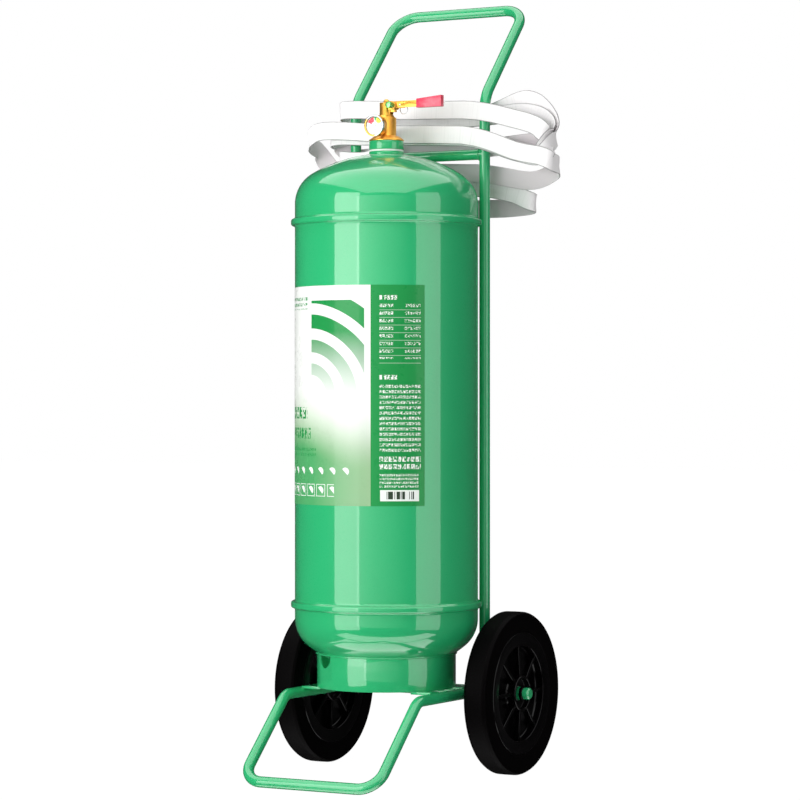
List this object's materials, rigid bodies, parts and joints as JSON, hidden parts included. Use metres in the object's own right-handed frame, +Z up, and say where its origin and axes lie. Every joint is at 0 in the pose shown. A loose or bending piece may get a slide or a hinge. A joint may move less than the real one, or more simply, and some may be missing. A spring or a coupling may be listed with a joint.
{
  "type": "wheeled fire extinguisher",
  "caption": "Upright welded vessel on a bent-tube trolley with wheels, a lever valve with a gauge, and a flat hose wound round the posts.",
  "frame": {"origin": "on the floor, under the middle of the trolley and vessel", "axes": "+Z up; -Y is the front, with the foot and the gauge; +X is the side the lever points to"},
  "size_m": [0.4756, 0.5276, 1.3046],
  "materials": {
    "green_paint": "glossy green powder coat",
    "green_bolt": "satin green zinc",
    "label": "printed film, white and green",
    "brass": "machined brass",
    "chrome": "polished chrome",
    "steel": "brushed steel",
    "black_rubber": "solid black rubber",
    "seal_rubber": "black rubber",
    "black_plastic": "moulded black plastic",
    "white_plastic": "plain white plastic",
    "red_plastic": "moulded red plastic",
    "dial": "printed dial, green and red sectors",
    "window": "clear window",
    "hose_fabric": "woven white lay-flat hose"
  },
  "bodies": {
    "trolley": {"barrel": "green_paint", "top_head": "green_paint", "bottom_head": "green_paint", "upper_seam": "green_paint", "lower_seam": "green_paint", "neck_ring": "green_paint", "base_ring": "green_paint", "label": "label", "handle_frame": "green_paint", "foot_frame": "green_paint", "cross_tube": "green_paint", "skirt_lugs": "green_paint", "axle": "green_paint", "inner_spacers": "green_paint", "outer_sleeves": "green_paint", "axle_rings": "black_plastic", "neck_gasket": "white_plastic", "valve_collar": "green_paint", "valve_body": "brass", "top_plug": "brass", "stem_spring": "steel", "spring_seat": "brass", "dip_tube": "white_plastic", "strainer": "white_plastic", "pivot_bolt": "green_bolt", "pivot_nut": "green_bolt", "gauge_case": "brass", "gauge_bezel": "chrome", "gauge_dial": "dial", "gauge_arbor": "brass", "gauge_window": "window", "bourdon_tube": "brass", "hose_coupling": "brass", "hose_clamp": "steel", "hose_lead": "hose_fabric", "hose_coil": "hose_fabric", "hose_tail": "hose_fabric", "nozzle_clamp": "steel", "nozzle_body": "brass", "nozzle_grip": "seal_rubber", "nozzle_tip": "brass", "nozzle_hanger": "green_paint"},
    "left_wheel": {"left_tyre": "black_rubber", "left_hub": "black_plastic", "left_bush": "steel"},
    "right_wheel": {"right_tyre": "black_rubber", "right_hub": "black_plastic", "right_bush": "steel"},
    "lever": {"lever": "brass", "lever_grip": "red_plastic"},
    "stem": {"stem": "brass", "stem_seal": "seal_rubber"},
    "pin": {"safety_pin": "steel"},
    "ring": {"pull_ring": "steel"},
    "needle": {"gauge_needle": "white_plastic"},
    "nozzle_valve": {"nozzle_ball": "chrome", "nozzle_lever": "red_plastic"}
  },
  "joints": [
    {"name": "left_wheel_spin", "type": "hinge", "parent": "trolley", "child": "left_wheel", "pos_m": [-0.1823, 0.09689, 0.1357], "axis": [1, 0, 0], "continuous": true},
    {"name": "right_wheel_spin", "type": "hinge", "parent": "trolley", "child": "right_wheel", "pos_m": [0.1823, 0.09689, 0.1357], "axis": [1, 0, 0], "continuous": true},
    {"name": "lever_lift", "type": "hinge", "parent": "trolley", "child": "lever", "pos_m": [0.0145, -0.00579, 1.1135], "axis": [0, -1, 0], "range_deg": [0, 90]},
    {"name": "stem_push", "type": "slide", "parent": "trolley", "child": "stem", "axis": [0, 0, -1], "range_m": [0, 0.003], "deforming": ["stem_spring"]},
    {"name": "pin_pull", "type": "slide", "parent": "lever", "child": "pin", "axis": [0, 1, 0], "range_m": [0, 0.025]},
    {"name": "ring_swing", "type": "hinge", "parent": "pin", "child": "ring", "pos_m": [0.027, 0.00581, 1.1145], "axis": [1, 0, 0], "range_deg": [-15, 100]},
    {"name": "needle_turn", "type": "hinge", "parent": "trolley", "child": "needle", "pos_m": [0, -0.04429, 1.078], "axis": [0, 1, 0], "range_deg": [-50, 50]},
    {"name": "nozzle_turn", "type": "hinge", "parent": "trolley", "child": "nozzle_valve", "pos_m": [-0.095, 0.14421, 0.882], "axis": [0, -1, 0], "range_deg": [0, 90]}
  ],
  "couplings": [
    {"joint": "stem_push", "follows": "lever_lift", "m_per_rad": 0.0019099}
  ]
}
